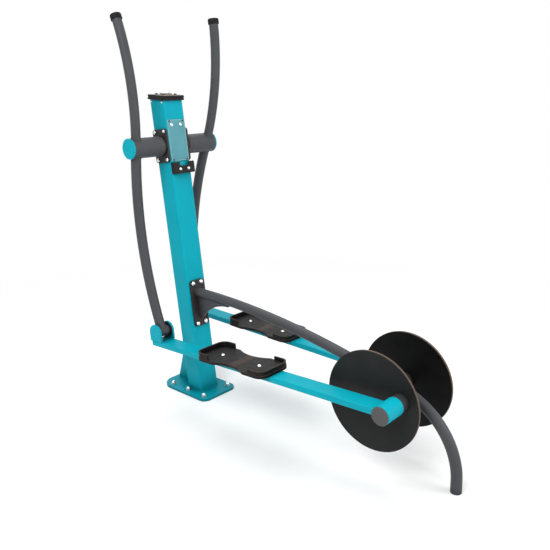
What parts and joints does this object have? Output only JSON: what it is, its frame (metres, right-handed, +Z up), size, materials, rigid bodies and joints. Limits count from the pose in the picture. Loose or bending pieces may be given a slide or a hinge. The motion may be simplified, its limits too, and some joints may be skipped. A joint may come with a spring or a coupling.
{
  "type": "outdoor cross trainer",
  "caption": "Outdoor cross trainer: leaning post on a base plate, swinging handles linked to pedal bars, twin crank discs and an arched rear leg.",
  "frame": {"origin": "on the ground, midway between the base plate's anchor holes, in the machine's middle plane", "axes": "+X from the post along the machine to the crank discs and the rear leg, +Y to the right-hand side of a person who stands on the pedals and faces the post, +Z up"},
  "size_m": [1.7003, 0.588, 1.7686],
  "materials": {
    "cyan_paint": "satin powder coat",
    "grey_paint": "satin powder coat",
    "charcoal_paint": "satin powder coat",
    "board": "matt, with a plain rim",
    "black_rubber": "matt",
    "black_plastic": "matt",
    "cover_plastic": "matt",
    "satin_plate": "satin, bare, with a paler border",
    "bright_steel": "bright",
    "inner_steel": "machined"
  },
  "bodies": {
    "frame": {"base_plate": "cyan_paint", "base_rib": "cyan_paint", "anchor_nuts": "bright_steel", "post": "cyan_paint", "post_cap": "black_plastic", "cap_cover": "cover_plastic", "cap_fixings": "bright_steel", "axle_flanges": "charcoal_paint", "pivot_axles": "inner_steel", "flange_bolts": "bright_steel", "axle_retainers": "inner_steel", "info_plate": "satin_plate", "phone_holder": "black_plastic", "rear_face_screws": "bright_steel", "leg_bracket": "charcoal_paint", "leg_bracket_bolts": "bright_steel", "leg_webs": "charcoal_paint", "rear_leg": "grey_paint", "crank_housing": "grey_paint", "crank_bearings": "inner_steel"},
    "crank": {"crank_shaft": "inner_steel", "left_disc": "board", "right_disc": "board", "crank_arms": "charcoal_paint", "arm_screws": "bright_steel", "pin_collars": "charcoal_paint"},
    "left_handle": {"left_pivot_sleeve": "grey_paint", "left_pivot_bearings": "inner_steel", "left_sleeve_cap": "cyan_paint", "left_handle_lower": "grey_paint", "left_handle_upper": "grey_paint", "left_grip_cap": "black_rubber", "left_hinge_barrel": "grey_paint", "left_hinge_bushes": "board"},
    "left_footbar": {"left_foot_bar": "cyan_paint", "left_fork_ears": "cyan_paint", "left_hinge_pin": "cyan_paint", "left_pin_housing": "cyan_paint", "left_housing_cap": "grey_paint", "left_crank_pin": "inner_steel", "left_pin_bearings": "inner_steel", "left_pedal": "board", "left_pedal_bolts": "bright_steel"},
    "right_handle": {"right_pivot_sleeve": "grey_paint", "right_pivot_bearings": "inner_steel", "right_sleeve_cap": "cyan_paint", "right_handle_lower": "grey_paint", "right_handle_upper": "grey_paint", "right_grip_cap": "black_rubber", "right_hinge_barrel": "grey_paint", "right_hinge_bushes": "board"},
    "right_footbar": {"right_foot_bar": "cyan_paint", "right_fork_ears": "cyan_paint", "right_hinge_pin": "cyan_paint", "right_pin_housing": "cyan_paint", "right_housing_cap": "grey_paint", "right_crank_pin": "inner_steel", "right_pin_bearings": "inner_steel", "right_pedal": "board", "right_pedal_bolts": "bright_steel"}
  },
  "joints": [
    {"name": "left_handle_swing", "type": "hinge", "parent": "frame", "child": "left_handle", "pos_m": [-0.09566, -0.208, 1.2], "axis": [0, 1, 0], "range_deg": [0, 16.36]},
    {"name": "right_handle_swing", "type": "hinge", "parent": "frame", "child": "right_handle", "pos_m": [-0.09566, 0.208, 1.2], "axis": [0, 1, 0], "range_deg": [-16.36, 0]},
    {"name": "left_footbar_pivot", "type": "hinge", "parent": "left_handle", "child": "left_footbar", "pos_m": [-0.00463, -0.208, 0.36193], "axis": [0, 1, 0], "range_deg": [-12.66, 0]},
    {"name": "right_footbar_pivot", "type": "hinge", "parent": "right_handle", "child": "right_footbar", "pos_m": [-0.24436, 0.208, 0.37022], "axis": [0, 1, 0], "range_deg": [0, 12.66]},
    {"name": "crank_spin", "type": "hinge", "parent": "frame", "child": "crank", "pos_m": [1.109, 0, 0.32], "axis": [0, -1, 0], "continuous": true}
  ],
  "couplings": [
    {"joint": "right_handle_swing", "follows": "left_handle_swing", "ratio": -1},
    {"joint": "left_footbar_pivot", "follows": "left_handle_swing", "ratio": -0.7737},
    {"joint": "right_footbar_pivot", "follows": "left_handle_swing", "ratio": 0.7737},
    {"joint": "crank_spin", "follows": "left_handle_swing", "ratio": 11.003}
  ]
}
